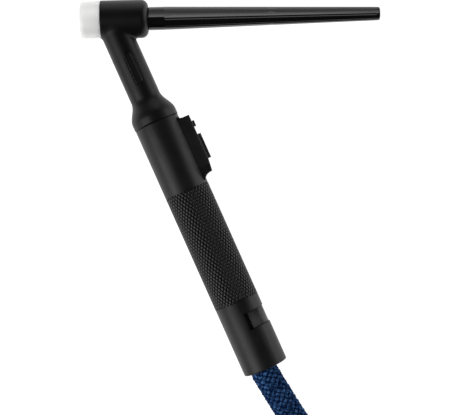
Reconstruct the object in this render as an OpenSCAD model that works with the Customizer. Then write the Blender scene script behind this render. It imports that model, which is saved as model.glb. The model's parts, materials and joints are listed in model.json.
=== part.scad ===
// TIG torch lying on its side, with its sleeved hose coiled beside it.
// The head's axis runs along X, the handle goes towards -Y, and +Z is up.

/* [Head] */
// Diameter of the rubber head
head_d = 24.7; // [24:0.1:27]
// Length of the head in front of the handle's axis
head_front = 6.1; // [5:0.1:9]
// Length of the head behind the handle's axis
head_rear = 24.6; // [24:0.1:28]
// Rounding of the head's rear edge
head_edge_r = 4.6; // [2:0.1:4.6]
// Diameter of the front insulator
insulator_d = 24.4; // [20:0.1:27]
// Length of the front insulator
insulator_len = 13.3; // [8:0.1:16]
// Diameter of the thread that takes the collet body
collet_thread_d = 9.52; // [8:0.01:11]

/* [Back cap] */
// Diameter of the cap's round collar
collar_d = 15; // [14:0.1:17]
// Length of the cap's round collar
collar_len = 10.2; // [6:0.1:14]
// Length of the cap's fluted stem
stem_len = 140.1; // [60:0.1:160]
// Diameter of the cap's tip
tip_d = 8.8; // [7:0.1:11]
// Number of flutes around the stem
flute_count = 8; // [6:1:10]
// Diameter of the cap's thread
cap_thread_d = 11.4; // [10:0.1:11.4]

/* [Neck] */
// Angle between the cap's axis and the handle's axis
handle_angle = 67.2; // [60:0.1:75]
// Diameter of the neck
neck_d = 20; // [18:0.1:21]
// Distance from the head's axis to the seam at the handle
neck_len = 73.6; // [70:0.1:90]
// Largest diameter of the flare at the seam
flare_d = 30.2; // [29.4:0.1:32]
// Length of the oval recess on the neck
badge_len = 22.5; // [16:0.1:26]
// Width of the oval recess on the neck
badge_w = 5.5; // [4:0.1:7]

/* [Handle] */
// Diameter of the handle
handle_d = 29.6; // [28:0.1:30]
// Length of the handle
handle_len = 173.9; // [165:0.1:180]
// Thickness of the handle's wall
handle_wall = 2.5; // [2.2:0.1:2.8]
// Distance from the seam to the start of the knurl
knurl_start = 48.3; // [46:0.1:60]
// Distance from the seam to the end of the knurl
knurl_end = 127; // [100:0.1:129]
// Depth of the knurl, which is cut down to a plain band here
knurl_deep = 0.7; // [0.2:0.1:1]
// Distance from the seam to the clip
clip_start = 135.4; // [130:0.1:138]
// Length of the clip along the handle
clip_len = 11.4; // [9:0.1:12]

/* [Switches] */
// Distance from the seam to the switch module
module_start = 4; // [3:0.1:6]
// Length of the switch module
module_len = 39; // [38:0.1:40]
// Width of the switch module
module_w = 13.6; // [13:0.1:15]
// Height of the module's top over the handle's axis
module_top = 21.3; // [21:0.1:22]
// Drop of the module's top from the rocker to its rear end
module_drop = 0.9; // [0:0.1:1.2]
// Length of the small button
small_len = 3.8; // [3:0.1:5]
// Length of the rocker
rocker_len = 17; // [15:0.1:17.5]

/* [Hose] */
// Diameter over the braided sleeve
hose_d = 17.5; // [17:0.1:17.5]
// Radius of the coil at the middle of its outer turn
coil_r = 126.5; // [120:0.5:130]
// Number of turns in each layer of the coil
layer_turns = 2.65; // [2.5:0.05:2.7]
// Distance between turns
turn_pitch = 18; // [17.6:0.1:18.4]
// Width of the straps round the coil
strap_w = 20; // [15:1:30]

/* [Connector] */
// Diameter of the connector's body
plug_d = 36; // [34:0.5:40]
// Diameter of the power and gas pin
pin_d = 10; // [8:0.5:10]
// Number of control pins
control_count = 5; // [3:1:7]

/* [Hidden] */
$fn = 64;
eps = 0.01;

// Gap between pieces that move against each other
gap = 0.3;
// Radial clearance of a shaft that turns in a bore
run = 0.05;

head_r = head_d / 2;
neck_r = neck_d / 2;
flare_r = flare_d / 2;
flare_len = 18;
flare_land = 4;
handle_r = handle_d / 2;
bore_r = handle_r - handle_wall;
handle_edge = 1;
handle_end = neck_len + handle_len;
axis_height = flare_r;

// The place of the crossing of the two axes puts the torch's box over the origin
insulator_face = head_front + insulator_len;
cap_end = head_rear + gap + collar_len + stem_len;
handle_reach = (handle_end - handle_edge) * sin(handle_angle)
    + (handle_r - handle_edge) * cos(handle_angle) + handle_edge;
crossing = [(insulator_face - cap_end) / 2, (handle_reach - head_r) / 2, axis_height];

// Torch body
insulator_bore_r = 5.5;
barrel_r = 8.6;
spigot_r = 7;
spigot_len = 2;
barrel_end = head_rear - 0.6;
cap_bore_r = cap_thread_d / 2 + run;
cap_bore_start = 11;
seat_r = 7.5;
seat_len = 2.4;
boss_r = 6.5;
boss_end = 15;
tube_r = 4.5;
tube_start = 9;
tube_end = 106;
gas_r = 3;
inlet_r = 2.5;
thread_end = 4;

// Back cap
shank_len = 12;
o_ring_r = 0.85;
o_ring_mid = cap_thread_d / 2 + 0.6;
o_ring_x = head_rear - 1.6;
electrode_r = 1.8;
flute_r = 1;
flute_deep = 0.45;
flute_shallow = 0.35;
flute_turn = 11;
tip_band = 3;
tip_wall = 6;
tip_round = 1.2;

// Inside the handle
coupling_front = 60;
coupling_step = 68;
coupling_end = 92;
coupling_neck_r = 8.5;
fitting_start = 100;
fitting_flats = 13;
fitting_len = 12;
spigot_end = 130;
spigot_bore_r = 2.4;
cable_r = 5;
cable_bore_r = 3.4;
ferrule_r = 6;
ferrule_len = 14;
hose_start = 222;
support_start = 205;
support_end = handle_end - 1;
mouth_start = 232;
hose_shift = 2.4;
mouth_shift = 1.2;
mouth_r = 10.8;

// Switch module, measured from the seam and from the handle's axis
housing_bottom = 12.5;
cover_thick = 0.7;
housing_top = module_top - cover_thick;
module_end = module_start + module_len;
module_slope_start = 35.4;
front_corner = 1.2;
rear_corner = 4.6;
cavity_start = 7.5;
cavity_end = 39;
cavity_w = 11;
cavity_floor = 13.3;
window_w = 10;
board_bottom = 14.2;
board_thick = 1.6;
board_top = board_bottom + board_thick;
button_w = 8;
small_start = 8.3;
small_top = 22.8;
small_flange = 0.6;
press_travel = 0.8;
flange_bottom = 18.9;
rocker_start = 17.6;
rocker_top = 23.4;
rocker_pivot = 19.6;
rocker_bottom = 18.6;
rocker_gap = 0.5;
rocker_tilt = 4;
pivot_r = 0.8;
pivot_len = cavity_w + 1.6;
tact_w = 4.5;
tact_len = 4.4;
plunger_r = 1.2;
plunger_len = 0.6;
screw_places = [5.75, 41];
screw_r = 0.9;
screw_head_r = 1.5;
screw_tip = 8.6;
screw_seat = 17.8;
screw_head_len = 1.2;
screw_slot_r = 0.7;
screw_slot_deep = 0.6;
screw_boss_r = 3;

// Clip
clip_half_angle = 76;
slot_half_angle = 86;
clip_sunk = 0.6;
clip_play = 0.2;
peg_r = 2;
peg_bottom = 9.4;

// Hose and coil
coil_centre = [-27, -297];
hose_r = hose_d / 2;
coil_inner = coil_r - layer_turns * turn_pitch - hose_r;
coil_outer = coil_r + hose_r;
coil_h = 2 * hose_d;
strap_t = 1.5;
strap_lift = 1.6;
strap_angles = [180, 270];
lead_route = [
    [5.9, -95, 15.1], [9.8, -104.3, 15.1], [16.4, -118.2, 15.1], [23.8, -131.2, 14.9],
    [31.2, -144.2, 14.2], [41.5, -161.4, 12.4], [54, -183.2, 10.2],
    [66, -204.8, 9.1], [76, -222.3, 8.75], [83, -234.7, 8.75]
];
tail_route = [
    [-52.2, -173, 26.3], [-38, -170.3, 26.8], [-20, -168.7, 28.5], [-2, -170.6, 31.8],
    [15, -176, 36], [31, -184.8, 40.7], [45, -197, 45], [57, -212, 48.6],
    [66, -229, 51.2], [71.5, -246, 52.6], [73, -262, 53], [73, -280, 53], [73, -297, 53]
];
control_route = [
    [12, 3, 104], [9, 5.5, 110], [7.5, 6.5, 118], [4, 8.4, 140],
    [-1, 8.3, 180], [-2, 7, 204], [-2, 6.9, 222]
];
control_lead_d = 3;

// Connector, measured along its axis from the end of the boot
plug_place = [73, -262, 53];
plug_r = plug_d / 2;
boot_len = 42;
boot_tip_r = 9.8;
boot_base_r = 14;
passage_r = 6;
groove_places = [52, 58, 64, 70];
groove_r = 1.2;
body_start = 36;
body_end = 80;
body_neck_r = 12.4;
flange_start = 84.3;
flange_end = 88;
flange_r = 14.8;
nut_start = 80.4;
nut_end = 106;
nut_lip_end = 84;
nut_r = plug_r - 0.5;
nut_thread_r = 15.2;
nut_ribs = 16;
flute_out = 0.7;
nut_flute_r = 1.3;
insert_start = 76;
insert_end = 96;
insert_r = 10.6;
pin_end = 124;
pin_groove = 100;
pin_chamfer = 1;
pin_bore_r = 2;
groove_half = 1;
ring_r = 0.9;
control_circle = 8;
control_r = 0.8;
control_end = 102;

function unit(v) = v / norm(v);

// Point at u between b and c on a smooth curve through a, b, c and d
function curve_point(a, b, c, d, u) =
    0.5 * (2 * b + (c - a) * u + (2 * a - 5 * b + 4 * c - d) * u * u + (3 * b - a - 3 * c + d) * u * u * u);

// Smooth curve through the points, with a number of steps between each two
function smooth(p, steps) = concat(
    [for (i = [0 : len(p) - 2]) for (k = [0 : steps - 1])
        curve_point(p[max(i - 1, 0)], p[i], p[i + 1], p[min(i + 2, len(p) - 1)], k / steps)],
    [p[len(p) - 1]]
);

// Corners of the ring round point i of a curve
function ring(p, i, r, up, sides) =
    let (
        along = unit(p[min(i + 1, len(p) - 1)] - p[max(i - 1, 0)]),
        side = unit(cross(along, up)),
        top = cross(side, along)
    )
    [for (k = [0 : sides - 1]) p[i] + r * (cos(360 * k / sides) * side + sin(360 * k / sides) * top)];

// Round tube of diameter d along the points p
module tube(p, d, up = [0, 0, 1], sides = 12) {
    count = len(p);
    corners = [for (i = [0 : count - 1]) each ring(p, i, d / 2, up, sides)];
    walls = [for (i = [0 : count - 2]) for (k = [0 : sides - 1])
        [i * sides + k, i * sides + (k + 1) % sides, (i + 1) * sides + (k + 1) % sides, (i + 1) * sides + k]];
    first = [for (k = [sides - 1 : -1 : 0]) k];
    last = [for (k = [0 : sides - 1]) (count - 1) * sides + k];
    polyhedron(points = corners, faces = concat([first], walls, [last]), convexity = 4);
}

// Frame of the head: local z along the cap, local y up
module on_head() {
    translate(crossing) rotate([90, 0, 90]) children();
}

// Frame of the handle: local z from the head to the hose, local x to the buttons, local y up
module on_handle() {
    translate(crossing) rotate([90, 0, 90 - handle_angle]) children();
}

// The same frame, starting at the seam
module from_seam() {
    on_handle() translate([0, 0, neck_len]) children();
}

// Frame of the connector: local z away from the hose
module on_plug() {
    translate(plug_place) rotate([90, 0, 0]) children();
}

// Cylinder between two places along the local z axis
module rod(r, from, to) {
    translate([0, 0, from]) cylinder(r = r, h = to - from);
}

// Block between two places along the local z axis, as wide as w across y and between heights x1 and x2
module bar(x1, x2, w, from, to) {
    translate([x1, -w / 2, from]) cube([x2 - x1, w, to - from]);
}

// Block like bar, with its corners across y and z rounded
module rounded_bar(x1, x2, w, from, to, r) {
    translate([x1, 0, 0]) rotate([0, 90, 0]) linear_extrude(x2 - x1) union() {
        translate([-to, -w / 2 + r]) square([to - from, w - 2 * r]);
        translate([-to + r, -w / 2]) square([to - from - 2 * r, w]);
        for (a = [-to + r, -from - r]) for (b = [-w / 2 + r, w / 2 - r]) translate([a, b]) circle(r = r, $fn = 32);
    }
}

// Quarter round from angle a1 to a2 about c
function arc(c, r, a1, a2, n = 8) =
    [for (k = [0 : n]) c + r * [cos(a1 + (a2 - a1) * k / n), sin(a1 + (a2 - a1) * k / n)]];

module front_insulator() {
    face_round = 3.2;
    face_inset = 1.6;
    color("white") on_head() difference() {
        rotate_extrude() polygon(concat(
            [[0, -head_front], [0, -insulator_face]],
            [for (k = [0 : 6])
                [insulator_d / 2 - face_inset * (1 - sin(15 * k)),
                 -insulator_face + face_round * (1 - cos(15 * k))]],
            [[insulator_d / 2, -head_front]]
        ));
        rod(insulator_bore_r, -insulator_face - eps, -head_front);
        rod(spigot_r, -head_front - spigot_len, -head_front + eps);
    }
}

// Outer shape of the torch body, without its bores
module torch_body_shape() {
    on_head() {
        rod(barrel_r, -head_front, barrel_end);
        rod(spigot_r, -head_front - spigot_len, -head_front + eps);
    }
    on_handle() rod(boss_r, 0, boss_end);
}

module torch_body() {
    thread_r = collet_thread_d / 2;
    color("goldenrod") difference() {
        torch_body_shape();
        on_head() {
            rod(thread_r, -head_front - spigot_len - eps, thread_end);
            rod(gas_r, thread_end - eps, cap_bore_start + eps);
            rod(cap_bore_r, cap_bore_start, barrel_end);
            rod(seat_r, barrel_end - seat_len, barrel_end + eps);
        }
        on_handle() {
            rod(inlet_r, 0, tube_start + eps);
            rod(tube_r, tube_start, boss_end + eps);
        }
    }
}

// Half outline of the neck and its flare, against the distance along the handle's axis
function neck_outline(start) = concat(
    [[0, start], [neck_r, start]],
    [for (k = [0 : 12])
        [neck_r + (flare_r - neck_r) * (1 - cos(15 * k)) / 2,
         neck_len - flare_len + (flare_len - flare_land) * k / 12]],
    [[flare_r, neck_len - 0.5], [flare_r - 0.5, neck_len], [0, neck_len]]
);

module head_cover() {
    neck_start = 5;
    badge_at = 36.5;
    badge_deep = 0.8;
    color("dimgray") difference() {
        union() {
            on_head() rotate_extrude() polygon(concat(
                [[0, head_rear], [0, -head_front], [head_r - 0.5, -head_front], [head_r, -head_front + 0.5]],
                arc([head_r - head_edge_r, head_rear - head_edge_r], head_edge_r, 0, 90)
            ));
            difference() {
                on_handle() rotate_extrude() polygon(neck_outline(neck_start));
                on_head() rod(head_r + 1, -head_front - 5, -head_front + eps);
            }
        }
        torch_body_shape();
        on_head() rod(seat_r + 0.05, barrel_end - eps, head_rear + eps);
        on_handle() {
            rod(tube_r, boss_end - eps, coupling_front + eps);
            rod(coupling_neck_r, coupling_front, coupling_step + eps);
            rod(bore_r, coupling_step, neck_len + eps);
            translate([0, neck_r - badge_deep, badge_at]) rotate([-90, 0, 0]) linear_extrude(badge_w) union() {
                square([badge_w, badge_len - badge_w], center = true);
                for (s = [-1, 1]) translate([0, s * (badge_len - badge_w) / 2]) circle(d = badge_w);
            }
        }
    }
}

module neck_tube() {
    color("peru") on_handle() difference() {
        rod(tube_r, tube_start, tube_end);
        rod(gas_r, tube_start - eps, tube_end + eps);
    }
}

// Radius of the cap's stem at a distance from the collar
function stem_r(s) = collar_d / 2 + (tip_d - collar_d) / 2 * s / stem_len;

module back_cap() {
    shank_start = head_rear - shank_len;
    collar_start = head_rear + gap;
    stem_start = collar_start + collar_len;
    lean = atan((stem_r(0) - flute_deep - stem_r(stem_len) + flute_shallow) / stem_len);
    color("black") on_head() difference() {
        rotate_extrude() polygon(concat(
            [[0, shank_start], [cap_thread_d / 2, shank_start], [cap_thread_d / 2, o_ring_x - 1.1],
             [o_ring_mid - o_ring_r - run, o_ring_x - 1.1], [o_ring_mid - o_ring_r - run, collar_start],
             [collar_d / 2 - 0.4, collar_start], [collar_d / 2, collar_start + 0.4],
             [collar_d / 2, stem_start]],
            arc([tip_d / 2 - tip_round, cap_end - tip_round], tip_round, 0, 90),
            [[0, cap_end]]
        ));
        for (k = [0 : flute_count - 1]) rotate([0, 0, 360 * k / flute_count + flute_turn])
            translate([stem_r(0) + flute_r - flute_deep, 0, stem_start + 0.6]) rotate([0, -lean, 0])
                cylinder(r = flute_r, h = stem_len - tip_band, $fn = 32);
        rod(electrode_r, shank_start - eps, cap_end - tip_wall);
    }
}

module back_cap_o_ring() {
    color("darkslategray") on_head() translate([0, 0, o_ring_x]) rotate_extrude()
        translate([o_ring_mid, 0]) circle(r = o_ring_r, $fn = 24);
}

module neck_coupling() {
    color("slategray") on_handle() difference() {
        union() {
            rod(coupling_neck_r, coupling_front, coupling_step);
            rod(bore_r, coupling_step, coupling_end);
        }
        rod(tube_r, coupling_front - eps, coupling_end + eps);
        translate([0, 0, neck_len + screw_places[0]]) rotate([0, 90, 0]) rod(screw_r, screw_tip - 1, bore_r + 1);
    }
}

// Fillet between the handle and an end of the switch module, as [height, distance from the module] points,
// with a block that reaches back beside the module's rounded corners
function fillet(x0, rise, run_out, back) = concat(
    [[x0 - 3, -back], [x0 + rise, -back]],
    [for (k = [0 : 8]) [x0 + rise * (1 - sin(90 * k / 8)), run_out * (1 - cos(90 * k / 8))]],
    [[x0 - 3, run_out]]
);

// Prism across the handle's width w, from an outline of [height, distance from the seam] points
module across(points, w) {
    rotate([90, 0, 0]) translate([0, 0, -w / 2]) linear_extrude(w) polygon(points);
}

// The switch module's outline as seen from above the buttons, between heights x1 and x2
module module_plan(x1, x2) {
    half = module_w / 2;
    translate([x1, 0, 0]) rotate([0, 90, 0]) linear_extrude(x2 - x1) union() {
        translate([-module_end + rear_corner, -half]) square([module_len - rear_corner - front_corner, module_w]);
        translate([-module_end, -half + rear_corner]) square([module_len, module_w - 2 * rear_corner]);
        translate([-module_start - front_corner - 0.1, -half + front_corner])
            square([front_corner + 0.1, module_w - 2 * front_corner]);
        for (s = [-1, 1]) {
            translate([-module_end + rear_corner, s * (half - rear_corner)]) circle(r = rear_corner);
            translate([-module_start - front_corner, s * (half - front_corner)]) circle(r = front_corner);
        }
    }
}

// The switch module seen from the side, up to a depth below its top
module module_side(bottom, depth) {
    top = module_top - depth;
    across([
        [bottom, module_start - 1], [top, module_start - 1], [top, module_slope_start],
        [top - module_drop, module_end], [top - module_drop, module_end + 1], [bottom, module_end + 1]
    ], module_w + 2);
}

module handle_shell() {
    color("dimgray") from_seam() difference() {
        union() {
            rotate_extrude() polygon(concat(
                [[0, 0], [handle_r - 0.4, 0], [handle_r, 0.4], [handle_r, knurl_start],
                 [handle_r - knurl_deep, knurl_start], [handle_r - knurl_deep, knurl_end], [handle_r, knurl_end]],
                arc([handle_r - handle_edge, handle_len - handle_edge], handle_edge, 0, 90),
                [[0, handle_len]]
            ));
            across([for (q = fillet(handle_r - 0.4, 5.8, 3.6, rear_corner)) [q[0], module_end + q[1]]], module_w);
            across([for (q = fillet(handle_r - 0.4, 2.2, 1.4, front_corner)) [q[0], module_start - q[1]]], module_w);
        }
        difference() {
            rod(bore_r, -eps, handle_len + eps);
            translate([0, 0, screw_places[1]]) rotate([0, 90, 0]) rod(screw_boss_r, screw_tip - 0.2, handle_r + 1);
        }
        module_plan(housing_bottom, module_top + 3);
        bar(screw_tip, housing_bottom + eps, window_w, cavity_start, screw_places[1] - screw_boss_r);
        for (z = screw_places) translate([0, 0, z]) rotate([0, 90, 0]) rod(screw_r, screw_tip - 1, handle_r + 1);
        translate([0, 0, clip_start]) rotate([0, 0, -slot_half_angle])
            rotate_extrude(angle = 2 * slot_half_angle) translate([bore_r - 1, 0]) square([5, clip_len]);
    }
}

module switch_housing() {
    color("black") from_seam() difference() {
        intersection() {
            module_plan(housing_bottom, module_top);
            module_side(housing_bottom - 1, cover_thick);
        }
        bar(cavity_floor, housing_top + eps, cavity_w, cavity_start, cavity_end);
        bar(housing_bottom - eps, cavity_floor + eps, window_w - 1, cavity_start + 1, cavity_end - 5);
        for (z = screw_places) translate([0, 0, z]) rotate([0, 90, 0]) {
            rod(screw_r, screw_tip, screw_seat + eps);
            rod(screw_head_r, screw_seat, module_top + 1);
        }
        translate([rocker_pivot, 0, rocker_start + rocker_len / 2]) rotate([90, 0, 0])
            cylinder(r = pivot_r, h = pivot_len, center = true, $fn = 24);
    }
}

module switch_cover() {
    color("black") from_seam() difference() {
        intersection() {
            module_plan(housing_bottom, module_top + 1);
            module_side(housing_bottom - 1, 0);
        }
        module_side(housing_bottom - 2, cover_thick);
        bar(housing_top - 1, module_top + 1, button_w + 2 * gap, small_start - gap, small_start + small_len + gap);
        bar(housing_top - 1, module_top + 1, button_w + 2 * gap, rocker_start - rocker_gap,
            rocker_start + rocker_len + rocker_gap);
    }
}

module small_button() {
    color("darkslategray") from_seam() {
        rounded_bar(flange_bottom + eps, small_top, button_w, small_start, small_start + small_len, 0.8);
        bar(flange_bottom, housing_top - gap, button_w + 1.2, small_start - small_flange,
            small_start + small_len + small_flange);
    }
}

module rocker_button() {
    color("darkslategray") from_seam() difference() {
        rounded_bar(rocker_bottom, rocker_top, button_w, rocker_start, rocker_start + rocker_len, 1);
        translate([rocker_pivot, 0, rocker_start + rocker_len / 2]) rotate([90, 0, 0])
            cylinder(r = pivot_r + run, h = button_w + 1, center = true, $fn = 24);
    }
}

module rocker_pin() {
    color("silver") from_seam() translate([rocker_pivot, 0, rocker_start + rocker_len / 2]) rotate([90, 0, 0])
        cylinder(r = pivot_r, h = pivot_len, center = true, $fn = 24);
}

module switch_board() {
    color("darkgreen") from_seam() bar(board_bottom, board_top, cavity_w - 0.6, cavity_start + 0.3, cavity_end - 0.3);
}

// Tact switch of height h centred at a distance from the seam
module tact_switch(at, h) {
    bar(board_top, board_top + h - plunger_len, tact_w, at - tact_len / 2, at + tact_len / 2);
    translate([0, 0, at]) rotate([0, 90, 0]) rod(plunger_r, board_top + h - plunger_len - eps, board_top + h);
}

module small_switch() {
    plunger_top = flange_bottom - press_travel - gap;
    color("gray") from_seam() tact_switch(small_start + small_len / 2, plunger_top - board_top);
}

module rocker_switches() {
    reach = rocker_len / 2 - 3;
    middle = rocker_start + rocker_len / 2;
    plunger_top = rocker_bottom - (rocker_len / 2) * sin(rocker_tilt) - gap;
    color("gray") from_seam() for (s = [-1, 1]) tact_switch(middle + s * reach, plunger_top - board_top);
}

module housing_screws() {
    color("silver") from_seam() for (z = screw_places) translate([0, 0, z]) rotate([0, 90, 0]) difference() {
        union() {
            rod(screw_r, screw_tip, screw_seat + eps);
            rod(screw_head_r, screw_seat, screw_seat + screw_head_len);
        }
        rod(screw_slot_r, screw_seat + screw_slot_deep, screw_seat + screw_head_len + eps);
    }
}

module cable_fitting() {
    color("goldenrod") on_handle() difference() {
        union() {
            translate([0, 0, fitting_start]) cylinder(d = fitting_flats / cos(30), h = fitting_len, $fn = 6);
            rod(cable_bore_r, fitting_start + fitting_len - eps, spigot_end);
        }
        rod(tube_r, fitting_start - eps, tube_end);
        rod(spigot_bore_r, tube_end - eps, spigot_end + eps);
    }
}

module cable_ferrule() {
    start = fitting_start + fitting_len + 1.5;
    color("silver") on_handle() difference() {
        rod(ferrule_r, start, start + ferrule_len);
        rod(cable_r, start - eps, start + ferrule_len + eps);
    }
}

module power_cable() {
    start = fitting_start + fitting_len + 0.5;
    color("black") on_handle() difference() {
        rod(cable_r, start, hose_start);
        rod(cable_bore_r, start - eps, spigot_end);
    }
}

module control_lead() {
    color("gray") on_handle() tube(smooth(control_route, 2), control_lead_d, [0, 1, 0], 10);
}

module hose_support() {
    color("slategray") on_handle() difference() {
        rod(bore_r, support_start, support_end);
        translate([-hose_shift, 0, 0]) rod(hose_r + 0.1, support_start - eps, mouth_start + eps);
        translate([-mouth_shift, 0, 0]) rod(mouth_r, mouth_start, support_end + eps);
        translate([0, 0, neck_len + clip_start + clip_len / 2]) rotate([0, 90, 0]) rod(peg_r, peg_bottom, handle_r);
    }
}

module retaining_clip() {
    clip_r = handle_r - clip_sunk;
    color("black") from_seam() {
        translate([0, 0, clip_start + clip_play]) rotate([0, 0, -clip_half_angle])
            rotate_extrude(angle = 2 * clip_half_angle)
                translate([bore_r, 0]) square([clip_r - bore_r, clip_len - 2 * clip_play]);
        translate([0, 0, clip_start + clip_len / 2]) rotate([0, 90, 0]) rod(peg_r, peg_bottom, bore_r + 0.5);
    }
}

module hose_lead() {
    color("navy") tube(smooth(lead_route, 2), hose_d);
}

module hose_coil() {
    color("navy") translate([coil_centre[0], coil_centre[1], 0]) rotate_extrude() polygon(concat(
        arc([coil_outer - hose_r, hose_r], hose_r, -90, 0),
        arc([coil_outer - hose_r, coil_h - hose_r], hose_r, 0, 90),
        arc([coil_inner + hose_r, coil_h - hose_r], hose_r, 90, 180),
        arc([coil_inner + hose_r, hose_r], hose_r, 180, 270)
    ));
}

module hose_tail() {
    color("navy") tube(smooth(tail_route, 2), hose_d);
}

// Rounded outline of a strap's outside, grown by t over the coil's section
module strap_outline(t, bottom, top) {
    r = hose_r + t;
    union() {
        translate([coil_inner - t, bottom + r]) square([coil_outer - coil_inner + 2 * t, top - bottom - 2 * r]);
        translate([coil_inner - t + r, bottom]) square([coil_outer - coil_inner + 2 * t - 2 * r, top - bottom]);
        for (a = [coil_inner - t + r, coil_outer + t - r]) for (b = [bottom + r, top - r])
            translate([a, b]) circle(r = r);
    }
}

module coil_straps() {
    inner_top = coil_h + strap_lift;
    color("dimgray") translate([coil_centre[0], coil_centre[1], 0]) for (a = strap_angles)
        rotate([90, 0, a]) translate([0, 0, -strap_w / 2]) linear_extrude(strap_w) difference() {
            strap_outline(strap_t, 0, inner_top + strap_t);
            strap_outline(0, strap_t, inner_top);
        }
}

module plug_boot() {
    color("black") on_plug() difference() {
        rotate_extrude() polygon([
            [0, 0], [boot_tip_r - 0.6, 0], [boot_tip_r, 0.6], [boot_base_r, body_start],
            [boot_base_r, boot_len], [0, boot_len]
        ]);
        rod(hose_r + 0.1, -eps, body_start);
        rod(passage_r, body_start - eps, boot_len + eps);
    }
}

module plug_body() {
    color("dimgray") on_plug() difference() {
        union() {
            rotate_extrude() polygon(concat(
                [[0, body_end], [0, body_start]],
                arc([plug_r - 3, body_start + 3], 3, -90, 0),
                arc([plug_r - 1.5, body_end - 1.5], 1.5, 0, 90)
            ));
            rod(body_neck_r, body_end - eps, flange_end);
            rod(flange_r, flange_start, flange_end);
        }
        rod(boot_base_r, body_start - eps, boot_len);
        rod(passage_r, boot_len - eps, insert_start + eps);
        rod(insert_r, insert_start, flange_end + eps);
        for (z = groove_places) translate([0, 0, z]) rotate_extrude()
            translate([plug_r, 0]) circle(r = groove_r, $fn = 24);
    }
}

module plug_nut() {
    color("black") on_plug() difference() {
        rotate_extrude() polygon([
            [body_neck_r + gap, nut_start], [nut_r - 1, nut_start], [nut_r, nut_start + 1],
            [nut_r, nut_end - 1], [nut_r - 1, nut_end], [nut_thread_r, nut_end],
            [nut_thread_r, nut_lip_end], [body_neck_r + gap, nut_lip_end]
        ]);
        for (k = [0 : nut_ribs - 1]) rotate([0, 0, 360 * k / nut_ribs])
            translate([nut_r + flute_out, 0, nut_start - 1])
                cylinder(r = nut_flute_r, h = nut_end - nut_start - 3, $fn = 24);
    }
}

module plug_insert() {
    color("white") on_plug() difference() {
        rod(insert_r, insert_start, insert_end);
        rod(pin_d / 2, insert_start - eps, insert_end + eps);
        for (k = [0 : control_count - 1]) rotate([0, 0, 360 * k / control_count + 90])
            translate([control_circle, 0, 0]) rod(control_r, insert_start - eps, insert_end + eps);
    }
}

module plug_pin() {
    pin_r = pin_d / 2;
    color("goldenrod") on_plug() rotate_extrude() polygon([
        [pin_bore_r, insert_start], [pin_r, insert_start], [pin_r, pin_groove - groove_half],
        [pin_r - groove_half, pin_groove - groove_half], [pin_r - groove_half, pin_groove + groove_half],
        [pin_r, pin_groove + groove_half], [pin_r, pin_end - pin_chamfer],
        [pin_r - pin_chamfer, pin_end], [pin_bore_r, pin_end]
    ]);
}

module plug_o_ring() {
    color("darkslategray") on_plug() translate([0, 0, pin_groove]) rotate_extrude()
        translate([pin_d / 2 - groove_half + ring_r, 0]) circle(r = ring_r, $fn = 24);
}

module control_pins() {
    color("gold") on_plug() for (k = [0 : control_count - 1]) rotate([0, 0, 360 * k / control_count + 90])
        translate([control_circle, 0, 0]) rod(control_r, insert_start, control_end);
}

front_insulator();
torch_body();
head_cover();
neck_tube();
back_cap();
back_cap_o_ring();
neck_coupling();
handle_shell();
switch_housing();
switch_cover();
small_button();
rocker_button();
rocker_pin();
switch_board();
small_switch();
rocker_switches();
housing_screws();
cable_fitting();
cable_ferrule();
power_cable();
control_lead();
hose_support();
retaining_clip();
hose_lead();
hose_coil();
hose_tail();
coil_straps();
plug_boot();
plug_body();
plug_nut();
plug_insert();
plug_pin();
plug_o_ring();
control_pins();
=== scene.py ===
"""TIG torch on its side with a sleeved hose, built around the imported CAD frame. Lengths are in metres."""
import json
from math import atan2, cos, pi, radians, sin, sqrt, tau

import bmesh
import bpy
from mathutils import Matrix, Vector, noise


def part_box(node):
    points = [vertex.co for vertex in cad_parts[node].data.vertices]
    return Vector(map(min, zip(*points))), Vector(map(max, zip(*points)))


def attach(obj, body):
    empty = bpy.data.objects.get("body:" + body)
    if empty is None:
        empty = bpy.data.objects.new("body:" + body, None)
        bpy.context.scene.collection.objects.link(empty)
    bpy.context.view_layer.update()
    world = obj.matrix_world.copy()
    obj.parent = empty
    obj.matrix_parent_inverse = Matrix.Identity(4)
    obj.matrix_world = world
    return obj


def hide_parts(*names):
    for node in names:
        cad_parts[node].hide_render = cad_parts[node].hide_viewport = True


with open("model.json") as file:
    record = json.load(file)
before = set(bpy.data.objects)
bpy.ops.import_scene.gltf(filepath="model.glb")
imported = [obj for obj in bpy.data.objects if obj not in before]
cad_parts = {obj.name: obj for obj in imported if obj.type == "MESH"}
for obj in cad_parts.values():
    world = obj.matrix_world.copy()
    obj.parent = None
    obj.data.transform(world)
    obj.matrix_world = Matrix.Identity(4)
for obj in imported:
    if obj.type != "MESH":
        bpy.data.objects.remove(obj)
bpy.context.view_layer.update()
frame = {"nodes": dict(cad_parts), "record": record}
mm = 0.001

# ---------------------------------------------------------------- the torch's own axes
HANDLE_ANGLE = radians(67.2)
INSULATOR_FACE = 19.4 * mm
HEAD_R = 12.35 * mm
SEAM = 73.6 * mm
AXIS_HEIGHT = 15.1 * mm

CROSSING = Vector((
    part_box("front_insulator")[0].x + INSULATOR_FACE,
    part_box("head_cover")[1].y - HEAD_R,
    AXIS_HEIGHT,
))
BUTTON_WAY = Vector((sin(HANDLE_ANGLE), cos(HANDLE_ANGLE), 0))
HANDLE_WAY = Vector((cos(HANDLE_ANGLE), -sin(HANDLE_ANGLE), 0))
UP = Vector((0, 0, 1))


def placed(x_way, y_way, z_way, origin):
    """Matrix from a local frame, given by its three directions and its origin, to the row frame."""
    matrix = Matrix((x_way, y_way, z_way)).transposed().to_4x4()
    matrix.translation = origin
    return matrix


ON_HEAD = placed(Vector((0, 1, 0)), UP, Vector((1, 0, 0)), CROSSING)
ON_HANDLE = placed(BUTTON_WAY, UP, HANDLE_WAY, CROSSING)
FROM_SEAM = ON_HANDLE @ Matrix.Translation((0, 0, SEAM))


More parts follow.
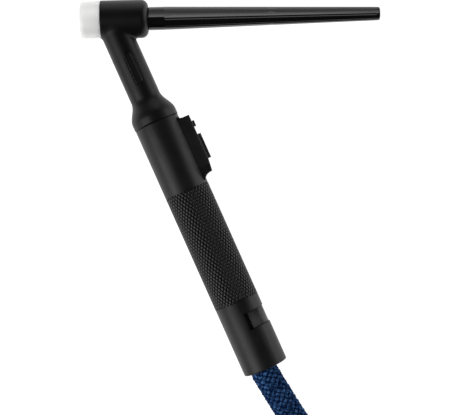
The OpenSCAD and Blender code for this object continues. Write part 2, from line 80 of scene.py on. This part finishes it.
# ---------------------------------------------------------------- camera
def camera():
    """Long lens straight over the torch, turned so that the head rises a little to the right."""
    roll = radians(-1.28)
    distance = 0.9
    width = 0.29965
    aim = CROSSING + Vector((75.3, -123.9, 0)) * mm
    data = bpy.data.cameras.new("camera")
    data.sensor_width = 36
    data.lens = data.sensor_width * distance / width
    data.clip_start = 0.01
    holder = bpy.data.objects.new("camera", data)
    bpy.context.scene.collection.objects.link(holder)
    holder.location = aim + UP * distance
    holder.rotation_euler = (0, 0, roll)
    bpy.context.scene.camera = holder


camera()


# ---------------------------------------------------------------- mesh helpers
def new_piece(name, mesh, body):
    """Object for a finished mesh, riding on a CAD body."""
    piece = bpy.data.objects.new(name, mesh)
    bpy.context.scene.collection.objects.link(piece)
    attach(piece, body)
    return piece


def mesh_from(name, points, faces, smooth=True):
    mesh = bpy.data.meshes.new(name)
    mesh.from_pydata([tuple(p) for p in points], [], faces)
    mesh.validate()
    if smooth:
        mesh.polygons.foreach_set("use_smooth", [True] * len(mesh.polygons))
    return mesh


# ---------------------------------------------------------------- softened moulded edges
def softened(node, body, width, steps=2, reshape=None):
    """Copy of a CAD node whose sharp edges are rounded by width, standing for that node.

    Faces that lie almost in one plane are joined first, so that only real edges are rounded."""
    weld = 0.002 * mm
    flat_within, sharp_from = radians(0.6), radians(28)
    bm = bmesh.new()
    bm.from_mesh(frame["nodes"][node].data)
    bmesh.ops.remove_doubles(bm, verts=bm.verts, dist=weld)
    bmesh.ops.dissolve_limit(bm, angle_limit=flat_within, verts=bm.verts, edges=bm.edges)
    if reshape:
        for v in bm.verts:
            v.co = reshape(v.co)
    mesh = bpy.data.meshes.new(node + "_moulded")
    bm.to_mesh(mesh)
    bm.free()
    mesh.polygons.foreach_set("use_smooth", [True] * len(mesh.polygons))
    piece = new_piece(node + "_moulded", mesh, body)
    bevel = piece.modifiers.new("edges", "BEVEL")
    bevel.width = width
    bevel.segments = steps
    bevel.limit_method = "ANGLE"
    bevel.angle_limit = sharp_from
    bevel.use_clamp_overlap = True
    bevel.harden_normals = True
    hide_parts(node)
    return piece


PLUG_BODY = softened("plug_body", "torch", 0.4 * mm)
PLUG_NUT = softened("plug_nut", "plug_nut", 0.4 * mm)


# ---------------------------------------------------------------- hose
HOSE_D = 17.5 * mm
COIL_CENTRE = Vector((-27, -297, 0)) * mm
COIL_R = 126.5 * mm
COIL_START = radians(29.5)
LAYER_TURNS = 2.65
CLIMB_TURNS = 0.5
TURN_PITCH = 18 * mm
STRAP_ANGLES = (pi, 1.5 * pi)
STRAP_LIFT = 1.6 * mm

LEAD_ROUTE = (
    (5.6, -95.1, 15.1), (9.5, -104.4, 15.1), (16.1, -118.3, 15.1), (23.5, -131.3, 14.9), (31.1, -144.3, 14.2),
    (41.5, -161.4, 12.4), (54, -183.2, 10.2), (66, -204.8, 9.1), (76, -222.3, 8.75),
)
TAIL_ROUTE = (
    (-52.2, -173, 26.3), (-38, -170.3, 26.8), (-20, -168.7, 28.5), (-2, -170.6, 31.8),
    (15, -176, 36), (31, -184.8, 40.7), (45, -197, 45), (57, -212, 48.6),
    (66, -229, 51.2), (71.5, -246, 52.6), (73, -262, 53), (73, -280, 53), (73, -297, 53),
)


def blend_step(u):
    """Smooth step from 0 to 1 as u goes from 0 to 1."""
    u = min(max(u, 0), 1)
    return u * u * (3 - 2 * u)


def strap_hump(angle):
    """How far the turns lift over the straps that pass under them."""
    flat, fall = 0.16, 0.4
    lift = 0
    for strap in STRAP_ANGLES:
        off = abs((angle - strap + pi) % tau - pi)
        lift = max(lift, 1 - blend_step((off - flat) / fall))
    return STRAP_LIFT * lift


def coil_points(per_turn=24):
    """Two flat spirals, one inwards and one outwards on top of it, joined by a climb of half a turn."""
    total = 2 * LAYER_TURNS + CLIMB_TURNS
    inner_r = COIL_R - LAYER_TURNS * TURN_PITCH
    climb_dip = 3 * mm
    low, high = HOSE_D / 2, 1.5 * HOSE_D
    count = round(total * per_turn)
    points = []
    for i in range(count):
        turns = total * i / count
        angle = COIL_START - tau * turns
        climb = (turns - LAYER_TURNS) / CLIMB_TURNS
        if climb < 0:
            radius = COIL_R - TURN_PITCH * turns
        elif climb < 1:
            radius = inner_r - climb_dip * sin(pi * climb)
        else:
            radius = inner_r + TURN_PITCH * (turns - LAYER_TURNS - CLIMB_TURNS)
        height = low + (high - low) * blend_step(climb) + strap_hump(angle)
        points.append(COIL_CENTRE + Vector((radius * cos(angle), radius * sin(angle), height)))
    return points


def smooth_curve(points, spacing):
    """Points of a Catmull-Rom curve through the given ones, one at each spacing(distance) along it."""
    fineness = 0.4 * mm
    dense = []
    for i in range(len(points) - 1):
        a, b = points[max(i - 1, 0)], points[i]
        c, d = points[i + 1], points[min(i + 2, len(points) - 1)]
        steps = max(4, int((c - b).length / fineness))
        for k in range(steps):
            u = k / steps
            dense.append(0.5 * (2 * b + (c - a) * u + (2 * a - 5 * b + 4 * c - d) * u ** 2
                                + (3 * b - a - 3 * c + d) * u ** 3))
    dense.append(points[-1])
    out, gone, due = [], 0.0, 0.0
    for p, q in zip(dense, dense[1:]):
        step = (q - p).length
        while due <= gone + step:
            out.append((due, p.lerp(q, (due - gone) / step)))
            due += spacing(due)
        gone += step
    out.append((gone, dense[-1]))
    return out


def hose_route():
    """Points from the handle's mouth through the coil to the connector."""
    lead = [Vector(p) * mm for p in LEAD_ROUTE]
    tail = [Vector(p) * mm for p in TAIL_ROUTE]
    return lead + coil_points() + tail


YARNS = 12
YARN_STEP = 3.8 * mm
FINE_LEN, FADE_LEN = 150 * mm, 20 * mm


def braid_height(u, v):
    """Height from 0 to 1 of a plain braid at u yarns round the hose and v yarn steps along it."""
    a, b = u + v, u - v
    row, column = int(a // 1) - int(b // 1), (int(a // 1) + int(b // 1)) % (2 * YARNS)
    across_a, across_b = 2 * (b % 1) - 1, 2 * (a % 1) - 1
    over = column % 2 == 0
    across, along = (across_a, across_b) if over else (across_b, across_a)
    swell = 0.8 + 0.2 * noise.cell(Vector((row + 0.5, column + 0.5, 0.5)))
    return sqrt(max(0, 1 - across ** 2)) * (0.5 + 0.5 * cos(along * pi / 2)) * swell


def hose():
    """One tube through the whole route: braid relief near the torch, a plainer tube in the coil."""
    relief, fine_extra, plain_less = 1.25 * mm, 0.65 * mm, 0.25 * mm
    fine_sides, plain_sides = 96, 48
    fine_step, plain_step = 0.6 * mm, 2.8 * mm
    stray_size, stray_share, stray_seed = 4.5 * mm, 0.16, 7
    noise.seed_set(stray_seed)
    points = smooth_curve(hose_route(), lambda s: fine_step if s < FINE_LEN else plain_step)
    side = UP.cross(points[1][1] - points[0][1]).normalized()
    verts, rings, uvs = [], [], []
    for i, (s, p) in enumerate(points):
        ahead = points[min(i + 1, len(points) - 1)][1] - points[max(i - 1, 0)][1]
        ahead.normalize()
        side = (side - ahead * side.dot(ahead)).normalized()
        top = ahead.cross(side)
        sides = fine_sides if s < FINE_LEN else plain_sides
        share = 1 - blend_step((s - FINE_LEN + FADE_LEN) / FADE_LEN)
        ring = []
        for k in range(sides):
            angle = tau * k / sides
            way = cos(angle) * side + sin(angle) * top
            stray = noise.noise_vector((p + HOSE_D / 2 * way) / stray_size) * stray_share
            u, v = YARNS * k / sides + stray.x, s / YARN_STEP + stray.y
            radius = HOSE_D / 2 + relief * (braid_height(u, v) - 1) * share
            radius += fine_extra * share - plain_less * (1 - share)
            ring.append(len(verts))
            verts.append(p + radius * way)
            uvs.append((u, v))
        rings.append(ring)
    faces, corners = [], []

    def face(indices, places):
        faces.append(indices)
        corners.append(places)

    def at(index, wrapped=False):
        """Braid coordinates of a point, one round further where a face closes the ring."""
        return uvs[index][0] + (YARNS if wrapped else 0), uvs[index][1]

    first = list(reversed(rings[0]))
    face(first, [uvs[i] for i in first])
    for near, far in zip(rings, rings[1:]):
        n, m = len(near), len(far)
        for k in range(m):
            last = k == m - 1
            if n == m:
                corner = [near[k], near[(k + 1) % n], far[(k + 1) % m], far[k]]
            else:
                corner = [near[2 * k + 1], near[(2 * k + 2) % n], far[(k + 1) % m], far[k]]
                between = [near[2 * k], corner[0], corner[3]]
                face(between, [at(i) for i in between])
            face(corner, [at(corner[0]), at(corner[1], last), at(corner[2], last), at(corner[3])])
    face(rings[-1], [uvs[i] for i in rings[-1]])
    mesh = mesh_from("hose", verts, faces)
    layer = mesh.uv_layers.new(name="braid")
    flat = [c for places in corners for c in places]
    layer.data.foreach_set("uv", [x for c in flat for x in c])
    piece = new_piece("hose", mesh, "torch")
    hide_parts("hose_lead", "hose_coil", "hose_tail")
    return piece


HOSE = hose()


# ---------------------------------------------------------------- moulded pieces of the torch
def flat_ended(point):
    """The clip's outside with a flat at each end of its arc, as a bent strip has."""
    p = FROM_SEAM.inverted() @ point
    turn, radius = atan2(p.y, p.x), sqrt(p.x * p.x + p.y * p.y)
    middle, half = radians(58), radians(18.5)
    outside_from = 13.5 * mm
    if radius < outside_from or abs(abs(turn) - middle) > half:
        return point
    radius *= cos(half) / cos(abs(turn) - middle)
    return FROM_SEAM @ Vector((radius * cos(turn), radius * sin(turn), p.z))


HOUSING = softened("switch_housing", "torch", 0.75 * mm, 3)
COVER = softened("switch_cover", "torch", 0.8 * mm, 3)
BUTTON = softened("small_button", "small_button", 0.5 * mm, 3)
ROCKER = softened("rocker_button", "rocker", 0.5 * mm, 3)
CLIP = softened("retaining_clip", "torch", 0.35 * mm, reshape=flat_ended)
SHELL = softened("handle_shell", "torch", 0.4 * mm, 3)


# ---------------------------------------------------------------- head cover with a filleted branch
HEAD_FRONT, HEAD_REAR = 6.1 * mm, 24.6 * mm
FRONT_ROUND, REAR_ROUND, SEAM_ROUND = 0.2 * mm, 4.6 * mm, 0.6 * mm
NECK_START, NECK_R, FLARE_R = 5 * mm, 10 * mm, 15.1 * mm
NECK_SHORT_OF_FRONT = 0.01 * mm
FLARE_START, FLARE_END = 55.6 * mm, 69.6 * mm
BRANCH_FILLET = 1.8 * mm
RECESS_AT, RECESS_SIDE = 36.2 * mm, 1.2 * mm
RECESS_W, RECESS_LEN, RECESS_DEEP = 4.5 * mm, 22.5 * mm, 1.0 * mm
RECESS_ROUND = 0.3 * mm
TO_HEAD, TO_HANDLE = ON_HEAD.inverted(), ON_HANDLE.inverted()


def blended_min(a, b, k):
    """The smaller of two distances, with a fillet of about k where they are close."""
    h = max(k - abs(a - b), 0) / k
    return min(a, b) - h * h * k / 4


def round_edged(out_a, out_b, edge):
    """Distance to a solid from the distances to two of its faces, which meet in an edge of radius edge."""
    a, b = out_a + edge, out_b + edge
    return sqrt(max(a, 0) ** 2 + max(b, 0) ** 2) + min(max(a, b), 0) - edge


def head_distance(q):
    """Distance to the head's barrel, from a point in the head's axes."""
    middle, half = (HEAD_REAR - HEAD_FRONT) / 2, (HEAD_REAR + HEAD_FRONT) / 2
    edge = REAR_ROUND if q.z > 0 else FRONT_ROUND
    return round_edged(sqrt(q.x * q.x + q.y * q.y) - HEAD_R, abs(q.z - middle) - half, edge)


def neck_distance(q):
    """Distance to the neck and its flare, from a point in the handle's axes."""
    widening, length = FLARE_R - NECK_R, FLARE_END - FLARE_START
    u = min(max((q.z - FLARE_START) / length, 0), 1)
    radius = NECK_R + widening * (1 - cos(pi * u)) / 2
    slope = widening * pi * sin(pi * u) / 2 / length
    side = (sqrt(q.x * q.x + q.y * q.y) - radius) / sqrt(1 + slope * slope)
    return max(round_edged(side, q.z - SEAM, SEAM_ROUND), NECK_START - q.z)


def recess_distance(q):
    """Distance to the oval recess, from a point in the handle's axes."""
    along = max(abs(q.z - RECESS_AT) - (RECESS_LEN - RECESS_W) / 2, 0)
    across = sqrt((q.x - RECESS_SIDE) ** 2 + along * along)
    return max(across - RECESS_W / 2, NECK_R - RECESS_DEEP - q.y)


def cover_distance(point):
    """Distance from a point to the head cover's outer skin, below zero inside."""
    in_head, in_handle = TO_HEAD @ point, TO_HANDLE @ point
    neck = max(neck_distance(in_handle), NECK_SHORT_OF_FRONT - HEAD_FRONT - in_head.z)
    skin = blended_min(head_distance(in_head), neck, BRANCH_FILLET)
    return -blended_min(-skin, recess_distance(in_handle), RECESS_ROUND)


def head_cover():
    """Even mesh of the cover, with every outer point drawn onto the filleted skin."""
    voxel, reach, nudge, passes = 0.42 * mm, 1.3 * mm, 0.02 * mm, 3
    source = bpy.data.objects.new("cover_source", frame["nodes"]["head_cover"].data.copy())
    bpy.context.scene.collection.objects.link(source)
    even = source.modifiers.new("even", "REMESH")
    even.mode = "VOXEL"
    even.voxel_size = voxel
    mesh = bpy.data.meshes.new_from_object(source.evaluated_get(bpy.context.evaluated_depsgraph_get()))
    bpy.data.objects.remove(source)
    mesh.name = "head_cover_moulded"
    mesh.materials.clear()
    nudges = [Vector(way) * nudge for way in ((1, 0, 0), (0, 1, 0), (0, 0, 1))]
    for v in mesh.vertices:
        if abs(cover_distance(v.co)) > reach:
            continue
        for _ in range(passes):
            away = cover_distance(v.co)
            lean = Vector([cover_distance(v.co + push) - away for push in nudges])
            if lean.length > 0:
                v.co -= lean.normalized() * away
    mesh.polygons.foreach_set("use_smooth", [True] * len(mesh.polygons))
    mesh.set_sharp_from_angle(angle=radians(38))
    piece = new_piece("head_cover_moulded", mesh, "torch")
    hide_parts("head_cover")
    return piece


HEAD_COVER = head_cover()


# ---------------------------------------------------------------- knurl
def knurl():
    """Band of raised diamonds round the handle, closed on the inside, lying in the shell's recess."""
    start, end = 48.3 * mm, 127 * mm
    around, rows = 38, 40
    groove_r, top_r, inside_r = 14.12 * mm, 14.85 * mm, 13.9 * mm
    slopes = ((0.82, 0.66), (0.6, 0.93))  # a diamond's share of its width at a share of its height
    end_shift = 0.3  # half diamonds in the first and last rows have their tops this far in
    half = (end - start) / rows
    verts, faces = [], []

    def place(turn, row, r):
        angle = tau * turn / around
        verts.append(FROM_SEAM @ Vector((r * cos(angle), r * sin(angle), start + row * half)))
        return len(verts) - 1

    def ring(row, r):
        return [place(k + (row % 2) / 2, row, r) for k in range(around)]

    grid = [ring(j, groove_r) for j in range(rows + 1)]
    for j in range(rows + 1):
        shift = (j % 2) / 2
        for k in range(around):
            mid = k + 0.5 + shift
            other = (k + (j % 2)) % around
            corners = [(grid[j][k], k + shift, 0)]
            if j > 0:
                corners.append((grid[j - 1][other], mid, -1))
            corners.append((grid[j][(k + 1) % around], k + 1 + shift, 0))
            if j < rows:
                corners.append((grid[j + 1][other], mid, 1))
            peak = end_shift if j == 0 else -end_shift if j == rows else 0
            outer = [c[0] for c in corners]
            for share, height in slopes:
                r = groove_r + (top_r - groove_r) * height
                inner = [place(mid + (turn - mid) * share, j + peak + (row - peak) * share, r)
                         for _, turn, row in corners]
                for i in range(len(inner)):
                    n = (i + 1) % len(inner)
                    faces.append((outer[i], outer[n], inner[n], inner[i]))
                outer = inner
            top = place(mid, j + peak, top_r)
            for i in range(len(outer)):
                faces.append((outer[i], outer[(i + 1) % len(outer)], top))
    rims = [ring(j, inside_r) for j in (0, rows)]
    for k in range(around):
        n = (k + 1) % around
        faces.append((grid[0][n], grid[0][k], rims[0][k], rims[0][n]))
        faces.append((grid[rows][k], grid[rows][n], rims[1][n], rims[1][k]))
        faces.append((rims[0][n], rims[0][k], rims[1][k], rims[1][n]))
    mesh = mesh_from("handle_knurl", verts, faces)
    bm = bmesh.new()
    bm.from_mesh(mesh)
    bmesh.ops.recalc_face_normals(bm, faces=bm.faces)
    bm.to_mesh(mesh)
    bm.free()
    mesh.set_sharp_from_angle(angle=radians(45))
    return new_piece("handle_knurl", mesh, "torch")


KNURL = knurl()


# ---------------------------------------------------------------- materials
class Look:
    """Principled material on object coordinates, with helpers for its patterns. Scales are in metres."""

    def __init__(self, name, colour, roughness, metallic=0.0, **sockets):
        self.material = bpy.data.materials.new(name)
        self.material.use_nodes = True
        self.nodes = self.material.node_tree.nodes
        self.links = self.material.node_tree.links
        self.shader = self.nodes["Principled BSDF"]
        self.colour = colour
        self.roughness = roughness
        self.shader.inputs["Base Color"].default_value = (*colour, 1)
        self.shader.inputs["Roughness"].default_value = roughness
        self.shader.inputs["Metallic"].default_value = metallic
        for key, value in sockets.items():
            self.shader.inputs[key.replace("_", " ")].default_value = value
        self.place = self.nodes.new("ShaderNodeTexCoord").outputs["Object"]

    def math(self, kind, a, b=0.5, c=0.5):
        node = self.nodes.new("ShaderNodeMath")
        node.operation = kind
        for socket, value in zip(node.inputs, (a, b, c)):
            if isinstance(value, (int, float)):
                socket.default_value = value
            else:
                self.links.new(value, socket)
        return node.outputs[0]

    def scaled(self, stretch):
        node = self.nodes.new("ShaderNodeMapping")
        node.inputs["Scale"].default_value = stretch
        self.links.new(self.place, node.inputs["Vector"])
        return node.outputs[0]

    def noise(self, size, detail=2.0, place=None):
        node = self.nodes.new("ShaderNodeTexNoise")
        node.inputs["Scale"].default_value = 1 / size
        node.inputs["Detail"].default_value = detail
        self.links.new(place or self.place, node.inputs["Vector"])
        return node.outputs["Fac"]

    def range(self, value, low, high, to_low, to_high):
        node = self.nodes.new("ShaderNodeMapRange")
        for socket, number in zip(list(node.inputs)[1:5], (low, high, to_low, to_high)):
            socket.default_value = number
        self.links.new(value, node.inputs[0])
        return node.outputs[0]

    def tint(self, fac, low, high):
        """Base colour between two multiples of the look's own colour, or between two colours."""
        node = self.nodes.new("ShaderNodeMix")
        node.data_type = "RGBA"
        for socket, value in ((node.inputs[6], low), (node.inputs[7], high)):
            rgb = [c * value for c in self.colour] if isinstance(value, (int, float)) else value
            socket.default_value = (*rgb, 1)
        self.links.new(fac, node.inputs[0])
        return node.outputs[2]

    def set(self, socket, value):
        self.links.new(value, self.shader.inputs[socket])

    def bump(self, height, distance, strength=1.0):
        node = self.nodes.new("ShaderNodeBump")
        node.inputs["Distance"].default_value = distance
        node.inputs["Strength"].default_value = strength
        self.links.new(height, node.inputs["Height"])
        self.set("Normal", node.outputs[0])


def grained(name, colour, roughness, grain, depth, metallic=0.0, mottle=0.12, **sockets):
    """Moulded or cast surface: fine grain in the bump, slow change in colour and roughness."""
    look = Look(name, colour, roughness, metallic, **sockets)
    slow = look.noise(9 * mm, 3)
    fine = look.noise(grain, 3)
    look.set("Base Color", look.tint(look.range(slow, 0.3, 0.7, 0, 1), 1 - mottle, 1 + mottle))
    both = look.math("MULTIPLY_ADD", fine, 0.3, look.math("MULTIPLY", slow, 0.7))
    look.set("Roughness", look.range(both, 0.35, 0.65, roughness * 0.93, roughness * 1.07))
    look.bump(fine, depth)
    return look.material


def streaked(name, colour, roughness, stretch, **sockets):
    """Turned or drawn metal: fine streaks along one direction."""
    look = Look(name, colour, roughness, 1.0, **sockets)
    lines = look.noise(1, 4, look.scaled(stretch))
    slow = look.noise(6 * mm, 3)
    look.set("Base Color", look.tint(look.range(slow, 0.3, 0.7, 0, 1), 0.88, 1.06))
    look.set("Roughness", look.range(lines, 0.3, 0.7, roughness * 0.75, roughness * 1.3))
    look.bump(lines, 0.006 * mm)
    return look.material


def braided():
    """Textile braid on the hose's own coordinates: yarns over and under and filaments, with painted shade in
    the valleys between yarns and painted light on their crowns, and a tone that varies at random per yarn and
    in patches, which also stands in for glints as painted highlights.
    """
    look = Look("braid", (0.012, 0.05, 0.2), 0.9, Specular_IOR_Level=0.02)
    uv = look.nodes.new("ShaderNodeUVMap")
    uv.uv_map = "braid"
    split = look.nodes.new("ShaderNodeSeparateXYZ")
    look.links.new(uv.outputs[0], split.inputs[0])
    u, v = split.outputs[0], split.outputs[1]
    m = look.math
    a, b = m("ADD", u, v), m("SUBTRACT", u, v)
    over = m("FLOORED_MODULO", m("ADD", m("FLOOR", a), m("FLOOR", b)), 2.0)
    flip = m("SUBTRACT", 1.0, over)
    fa, fb = m("FRACT", a), m("FRACT", b)
    across = m("MULTIPLY_ADD", m("ADD", m("MULTIPLY", fb, flip), m("MULTIPLY", fa, over)), 2.0, -1.0)
    along = m("MULTIPLY_ADD", m("ADD", m("MULTIPLY", fa, flip), m("MULTIPLY", fb, over)), 2.0, -1.0)
    crown = m("SQRT", m("MAXIMUM", m("SUBTRACT", 1.0, m("MULTIPLY", across, across)), 0.0))
    bow = m("MULTIPLY_ADD", m("COSINE", m("MULTIPLY", along, pi / 2)), 0.45, 0.55)
    height = m("MULTIPLY", crown, bow)
    wander = look.noise(0.5 * mm, 2)
    threads = m("SINE", m("MULTIPLY_ADD", across, 3.6 * pi, m("MULTIPLY", wander, 5.0)))
    fade_steps = 4
    past_fine = m("SUBTRACT", v, FINE_LEN / YARN_STEP - fade_steps)
    coiled = m("MINIMUM", m("MAXIMUM", m("MULTIPLY", past_fine, 1 / fade_steps), 0.0), 1.0)
    relief = m("MULTIPLY_ADD", m("MULTIPLY", height, coiled), 1.0, m("MULTIPLY", threads, 0.11))
    look.bump(relief, 0.55 * mm)
    cell = look.nodes.new("ShaderNodeTexWhiteNoise")
    cell.noise_dimensions = "2D"
    join = look.nodes.new("ShaderNodeCombineXYZ")
    look.links.new(m("SUBTRACT", m("FLOOR", a), m("FLOOR", b)), join.inputs[0])
    look.links.new(m("FLOORED_MODULO", m("ADD", m("FLOOR", a), m("FLOOR", b)), 2.0 * YARNS), join.inputs[1])
    look.links.new(join.outputs[0], cell.inputs["Vector"])
    # Painted shade and light: the colour is darker in the valleys between yarns, and lighter on their crowns
    # and on the filament ridges.
    deep = m("MULTIPLY", look.range(height, 0.3, 0.95, 0, 1), m("MULTIPLY_ADD", threads, 0.3, 0.7))
    # Brightness that varies at random per yarn and in patches: partly the yarns' own tone, and partly painted
    # highlights that stand in for glints.
    glint_patches = look.range(look.noise(1.5 * mm, 3), 0.4, 0.62, 0.1, 1.5)
    fleck = m("MULTIPLY", m("MULTIPLY_ADD", cell.outputs["Value"], 0.7, 0.3), glint_patches)
    look.set("Base Color", look.tint(m("MULTIPLY", deep, fleck), (0.0002, 0.0065, 0.042), (0.1, 0.26, 0.6)))
    return look.material


def webbing():
    """Flat woven strap: a fine basket of ribs in all three directions."""
    rib = 1.5 * mm
    look = Look("webbing", (0.012, 0.012, 0.013), 0.8, Sheen_Weight=0.3)
    split = look.nodes.new("ShaderNodeSeparateXYZ")
    look.links.new(look.place, split.inputs[0])
    m = look.math
    x, y, z = [m("SINE", m("MULTIPLY", axis, tau / rib)) for axis in split.outputs]
    weave = m("ADD", m("ADD", m("MULTIPLY", x, y), m("MULTIPLY", y, z)), m("MULTIPLY", z, x))
    look.set("Base Color", look.tint(look.range(weave, -1, 1, 0, 1), 0.5, 1.7))
    look.bump(weave, 0.12 * mm)
    return look.material


LOOKS = {
    "insulator_ptfe": grained("ptfe", (0.9, 0.9, 0.89), 0.32, 0.7 * mm, 0.004 * mm, mottle=0.015,
                              Subsurface_Weight=1.0, Subsurface_Scale=0.004, Subsurface_Radius=(1, 1, 1)),
    "body_brass": streaked("brass_body", (0.62, 0.43, 0.2), 0.3, (9000, 600, 600)),
    "cover_rubber": grained("cover_rubber", (0.0018, 0.0018, 0.0019), 0.46, 0.16 * mm, 0.006 * mm,
                            Specular_IOR_Level=0.36),
    "neck_copper": streaked("copper", (0.72, 0.34, 0.2), 0.28, (700, 700, 6000)),
    "cap_plastic": grained("cap_gloss", (0.001, 0.001, 0.0011), 0.11, 2.5 * mm, 0.004 * mm, mottle=0.1),
    "seal_rubber": grained("seal", (0.012, 0.012, 0.012), 0.5, 0.2 * mm, 0.004 * mm),
    "handle_plastic": grained("handle", (0.0072, 0.0072, 0.0075), 0.46, 0.13 * mm, 0.007 * mm,
                              Specular_IOR_Level=0.36),
    "inner_plastic": grained("inner", (0.02, 0.02, 0.022), 0.5, 0.3 * mm, 0.008 * mm),
    "switch_plastic": grained("switch", (0.0045, 0.0045, 0.0048), 0.42, 0.2 * mm, 0.006 * mm,
                              Specular_IOR_Level=0.36),
    "button_rubber": grained("button", (0.007, 0.007, 0.0072), 0.48, 0.18 * mm, 0.008 * mm),
    "steel": streaked("steel", (0.56, 0.57, 0.58), 0.27, (5000, 5000, 700)),
    "board": grained("board", (0.012, 0.09, 0.035), 0.35, 0.8 * mm, 0.01 * mm, mottle=0.3),
    "switch_grey": grained("tact", (0.03, 0.03, 0.032), 0.45, 0.3 * mm, 0.006 * mm),
    "cable_rubber": grained("cable", (0.016, 0.016, 0.017), 0.55, 0.4 * mm, 0.012 * mm),
    "lead_grey": grained("lead", (0.16, 0.16, 0.165), 0.5, 0.4 * mm, 0.01 * mm),
    "hose_sleeve": braided(),
    "strap_webbing": webbing(),
    "boot_rubber": grained("boot", (0.011, 0.011, 0.012), 0.55, 0.25 * mm, 0.012 * mm),
    "plug_plastic": grained("plug", (0.014, 0.014, 0.015), 0.42, 0.3 * mm, 0.01 * mm),
    "nut_plastic": grained("nut", (0.01, 0.01, 0.011), 0.38, 0.3 * mm, 0.008 * mm),
    "insert_plastic": grained("insert", (0.7, 0.69, 0.65), 0.4, 0.4 * mm, 0.006 * mm, mottle=0.04),
    "pin_brass": streaked("brass_pin", (0.7, 0.5, 0.23), 0.25, (700, 9000, 700)),
    "contact_gold": streaked("gold", (0.85, 0.62, 0.25), 0.22, (700, 9000, 700)),
}

SLOTS = {part["node"]: part["material_slot"] for part in frame["record"]["subparts"]}
for node, o in frame["nodes"].items():
    o.data.materials.clear()
    o.data.materials.append(LOOKS[SLOTS[node]])
KNURL_LOOK = grained("knurl", (0.0085, 0.0085, 0.0088), 0.46, 0.13 * mm, 0.007 * mm,
                     Specular_IOR_Level=0.5)
for look, pieces in (
    (LOOKS["hose_sleeve"], [HOSE]),
    (LOOKS["handle_plastic"], [SHELL]),
    (KNURL_LOOK, [KNURL]),
    (LOOKS["cover_rubber"], [HEAD_COVER]),
    (LOOKS["switch_plastic"], [HOUSING, COVER, CLIP]),
    (LOOKS["button_rubber"], [BUTTON, ROCKER]),
    (LOOKS["plug_plastic"], [PLUG_BODY]),
    (LOOKS["nut_plastic"], [PLUG_NUT]),
):
    for piece in pieces:
        piece.data.materials.append(look)


# ---------------------------------------------------------------- floor, lights and view
def floor():
    """White sheet just under the part, bright enough to stay white."""
    size, below = 3.0, 0.05 * mm
    mesh = mesh_from("floor", [(-size, -size, 0), (size, -size, 0), (size, size, 0), (-size, size, 0)],
                     [(0, 1, 2, 3)])
    piece = bpy.data.objects.new("floor", mesh)
    bpy.context.scene.collection.objects.link(piece)
    piece.location.z = -below
    look = Look("floor", (0.5, 0.5, 0.5), 0.9, Emission_Strength=0.99)
    look.shader.inputs["Emission Color"].default_value = (1, 1, 1, 1)
    mesh.materials.append(look.material)


floor()


def softbox(name, aim, turn, lift, distance, width, height, radiance):
    """Area light seen from aim at a turn from +X and a lift above the floor, facing aim."""
    turn, lift = radians(turn), radians(lift)
    way = Vector((cos(turn) * cos(lift), sin(turn) * cos(lift), sin(lift)))
    data = bpy.data.lights.new(name, "AREA")
    data.shape = "RECTANGLE"
    data.size, data.size_y = width, height
    data.energy = radiance * pi * width * height
    light = bpy.data.objects.new(name, data)
    bpy.context.scene.collection.objects.link(light)
    light.location = aim + way * distance
    light.rotation_euler = (-way).to_track_quat("-Z", "Y").to_euler()
    light.visible_camera = False
    return light


def lit(light, *pieces, only=True):
    """Light linking: the light shines only on these pieces, or on everything but these."""
    group = bpy.data.collections.new(light.name + "_link")
    for piece in pieces:
        group.objects.link(piece)
    if not only:
        for entry in group.collection_objects:
            entry.light_linking.link_state = "EXCLUDE"
    light.light_linking.receiver_collection = group


GRIP = FROM_SEAM @ Vector((0, 0, 80 * mm))
NECK = ON_HANDLE @ Vector((0, 0, 40 * mm))
SWITCHES = FROM_SEAM @ Vector((0, 0, 20 * mm))
CAP = CROSSING + Vector((100, 0, 0)) * mm
lit(softbox("left", GRIP, 213, 38, 1.0, 0.9, 0.7, 3.4), HEAD_COVER, only=False)
softbox("right", GRIP, 22.8, 13, 1.0, 0.9, 0.4, 2.5)
STRIP_AWAY = 0.4
for lift, spread, radiance in ((76, 12, 3.0), (62, 16, 1.9), (42, 24, 0.9), (16, 28, 0.6)):
    strip = softbox("strip", CAP, 90, lift, STRIP_AWAY, 0.6, STRIP_AWAY * radians(spread), radiance)
    lit(strip, frame["nodes"]["back_cap"])
lit(softbox("fill", CROSSING, 100, 48, 0.7, 0.6, 0.5, 2.8), frame["nodes"]["front_insulator"])
lit(softbox("rim", CROSSING, 90, 16, 0.7, 0.6, 0.3, 1.3), HEAD_COVER)
lit(softbox("neck", NECK, 203, 42, 1.0, 0.3, 0.8, 4.8), HEAD_COVER)
lit(softbox("edge", SWITCHES, 22.8, 20, 0.6, 0.5, 0.25, 7), HOUSING, COVER, BUTTON, ROCKER)

world = bpy.data.worlds.new("studio")
world.use_nodes = True
world.node_tree.nodes["Background"].inputs["Color"].default_value = (1, 1, 1, 1)
world.node_tree.nodes["Background"].inputs["Strength"].default_value = 0.06
bpy.context.scene.world = world
bpy.context.scene.view_settings.view_transform = "Standard"
